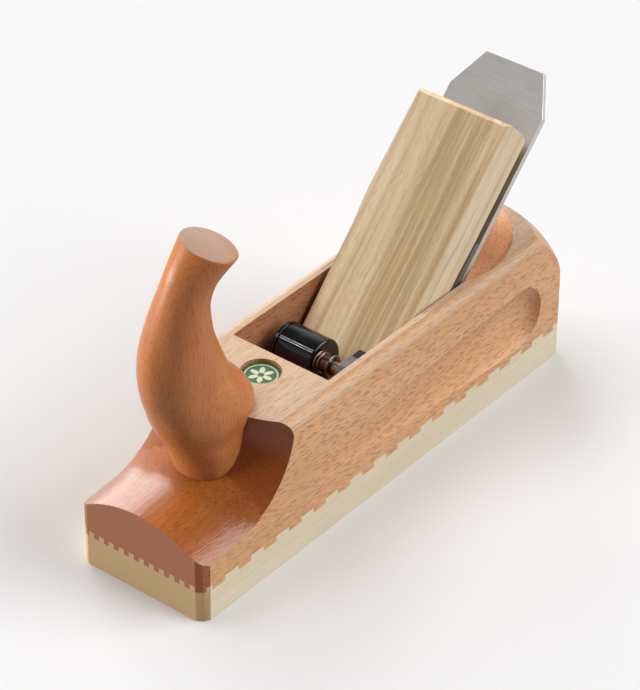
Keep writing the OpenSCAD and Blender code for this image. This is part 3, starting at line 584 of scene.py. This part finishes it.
for name, node, body in (("moulded_roller", "roller", "eccentric"),
                         ("roller_end_plate", "roller_flange", "eccentric"),
                         ("cheek_bush", "right_bush", "block")):
    fit(softened_copy(name, node, edge_mm=0.15), black_plastic, body, node)

# Sleeve and rings: a browned bronze sleeve that fits over the spindle, with three thin turned steel rings
# on it, between the roller and the lever.
sleeve_bronze = steel("browned bronze", "#6A5044", "#3C2A22", rough=0.3, lines=(2500, 40, 40), stain=0.3)
fit(softened_copy("browned_sleeve", "roller_sleeve", edge_mm=0.15), sleeve_bronze, "eccentric",
    "roller_sleeve")
for node in ("inner_ring", "middle_ring", "outer_ring"):
    fit(softened_copy("turned_" + node, node, edge_mm=0.1), spindle_steel, "eccentric", node)

# Lever: a short machined steel arm, fixed on the right end of the spindle, with a moulded black pad. A push
# on the pad turns the roller.
lever_steel = steel("dull machined steel", "#8E8A84", "#5E5A56", rough=0.3, lines=(900, 900, 900), stain=0.3)
fit(softened_copy("clamp_lever", "lever", edge_mm=0.25), lever_steel, "eccentric", "lever")
fit(softened_copy("lever_pad_block", "lever_pad", edge_mm=0.4), black_plastic, "eccentric",
    "lever_pad")

# Floor: a wide sheet of white studio paper. The plane's light finds it grey and the camera, metal and
# gloss find it near white, so it keeps the plane's shadow and sends little light back up.
FLOOR_HALF = 3.0
corners = [(x * FLOOR_HALF, y * FLOOR_HALF, 0) for x, y in ((-1, -1), (1, -1), (1, 1), (-1, 1))]
mesh = bpy.data.meshes.new("studio_floor")
mesh.from_pydata(corners, [], [(0, 1, 2, 3)])
floor = bpy.data.objects.new("studio_floor", mesh)
bpy.context.scene.collection.objects.link(floor)
studio_paper, tree = new_material("white studio paper")
rays = add(tree, "LightPath").outputs
mirrored = add(tree, "Math", rays["Is Glossy Ray"], rays["Is Transmission Ray"], operation="MAXIMUM")
looked_at = add(tree, "Math", rays["Is Camera Ray"], mirrored, operation="MAXIMUM")
white = add(tree, "Mix", looked_at, colour("#949498"), colour("#EDEDED"), **BLEND)
add(tree, "OutputMaterial", add(tree, "BsdfPrincipled", white, inputs={
    "Roughness": 0.9, "Specular IOR Level": 0}))
mesh.materials.append(studio_paper)

# Light: four softboxes, a fill and two narrow strip lights, in a room that is bright high on the left and
# darker behind the camera. The camera and mirror-like rays see the studio's white backdrop instead of the
# room, and mirror-like rays find it dim overhead and behind the camera.
TO_CAMERA, TO_UPPER_LEFT = (0.62, -0.78, 0), (-0.42, -0.07, 0.9)
ROOM_REAR, ROOM_FRONT, ROOM_BRIGHTEST, ROOM_TINT = 0.17, 0.06, 4.4, (1.0, 0.99, 1.0, 1)
scene = bpy.context.scene
scene.view_settings.view_transform = "Standard"
world = bpy.data.worlds.new("studio")
scene.world = world
world.use_nodes = True
tree = world.node_tree
tree.nodes.clear()
rays = add(tree, "LightPath").outputs
direction = add(tree, "TexCoord").outputs["Generated"]
height = add(tree, "SeparateXYZ", direction).outputs["Z"]
ahead = add(tree, "VectorMath", direction, TO_CAMERA, operation="DOT_PRODUCT")
front = add(tree, "MapRange", ahead, 0, 0.5, **STEP)
above = add(tree, "VectorMath", direction, TO_UPPER_LEFT, operation="DOT_PRODUCT")
bright = add(tree, "Math", add(tree, "MapRange", front, 0, 1, ROOM_REAR, ROOM_FRONT, **STEP),
             add(tree, "MapRange", above, 0.88, 1, 0, ROOM_BRIGHTEST, **STEP), operation="ADD")
room = add(tree, "Background", ROOM_TINT, bright)
overhead = add(tree, "MapRange", height, 0.45, 0.8, **STEP)
dim = add(tree, "Math", add(tree, "Math", overhead, front, operation="MAXIMUM"),
          add(tree, "Math", 1, rays["Is Camera Ray"], operation="SUBTRACT"), operation="MULTIPLY")
backdrop = add(tree, "Background", add(tree, "Mix", dim, colour("#F7F7F7"), colour("#5A5A5C"), **BLEND))
mirrored = add(tree, "Math", rays["Is Glossy Ray"], rays["Is Transmission Ray"], operation="MAXIMUM")
looked_at = add(tree, "Math", rays["Is Camera Ray"], mirrored, operation="MAXIMUM")
add(tree, "OutputWorld", add(tree, "MixShader", looked_at, room, backdrop))

# The low left softbox lights the horn and the toe. It spares the floor, the wedge and the irons, so that it
# throws no long shadow there, and the fill lights only the wedge and the irons.
WEDGE_AND_IRONS = ("planed_wedge", "ground_iron", "rolled_cap_iron")
LAMPS = (dict(name="rear softbox", azimuth=237, height=32, strength=0.45, spread=22),
         dict(name="low rear softbox", azimuth=232, height=7, strength=0.55, spread=30),
         dict(name="right softbox", azimuth=122, height=32, strength=2.6, spread=54),
         dict(name="left softbox", azimuth=313, height=3, strength=4.7, spread=27,
              spares=("studio_floor", *WEDGE_AND_IRONS)),
         dict(name="wedge fill", azimuth=350, height=62, strength=0.55, spread=40, only=WEDGE_AND_IRONS),
         dict(name="left strip light", azimuth=306, height=51, strength=0.03, spread=2),
         dict(name="upper strip light", azimuth=295, height=56, strength=0.03, spread=2))
for lamp in LAMPS:
    light = bpy.data.lights.new(lamp["name"], "SUN")
    light.energy = lamp["strength"]
    light.angle = math.radians(lamp["spread"])
    holder = bpy.data.objects.new(lamp["name"], light)
    holder.rotation_euler = (math.radians(90 - lamp["height"]), 0, math.radians(lamp["azimuth"]))
    scene.collection.objects.link(holder)
    for key, state in (("spares", "EXCLUDE"), ("only", "INCLUDE")):
        if key in lamp:
            group = bpy.data.collections.new(lamp["name"] + " " + key)
            for piece in lamp[key]:
                group.objects.link(bpy.data.objects[piece])
            for held in group.collection_objects:
                held.light_linking.link_state = state
            holder.light_linking.receiver_collection = group

# Camera: a long lens from the toe's right, above the deck, worked out from the block's corners. It aims at
# the middle of the block and is then shifted sideways and up.
AZIMUTH, ELEVATION, ROLL = (math.radians(v) for v in (38.633, 35.584, 0.467))
DISTANCE_MM, SHIFT_MM, AIM_Z_MM, LENS_MM, FAR_M = 1430.434, (-4.766, 19.575), 30, 180.314, 10
back = np.array([math.sin(AZIMUTH) * math.cos(ELEVATION), -math.cos(AZIMUTH) * math.cos(ELEVATION),
                 math.sin(ELEVATION)])
right = np.array([math.cos(AZIMUTH), math.sin(AZIMUTH), 0])
up = np.cross(back, right)
rolled_right = right * math.cos(ROLL) + up * math.sin(ROLL)
rolled_up = up * math.cos(ROLL) - right * math.sin(ROLL)
eye = np.array([0, 0, AIM_Z_MM]) + back * DISTANCE_MM + rolled_right * SHIFT_MM[0] + rolled_up * SHIFT_MM[1]
camera_data = bpy.data.cameras.new("camera")
camera_data.lens = LENS_MM
camera_data.clip_end = FAR_M
camera = bpy.data.objects.new("camera", camera_data)
pose = np.eye(4)
pose[:3] = np.column_stack([rolled_right, rolled_up, back, eye * MM])
camera.matrix_world = Matrix(pose)
scene.collection.objects.link(camera)
scene.camera = camera
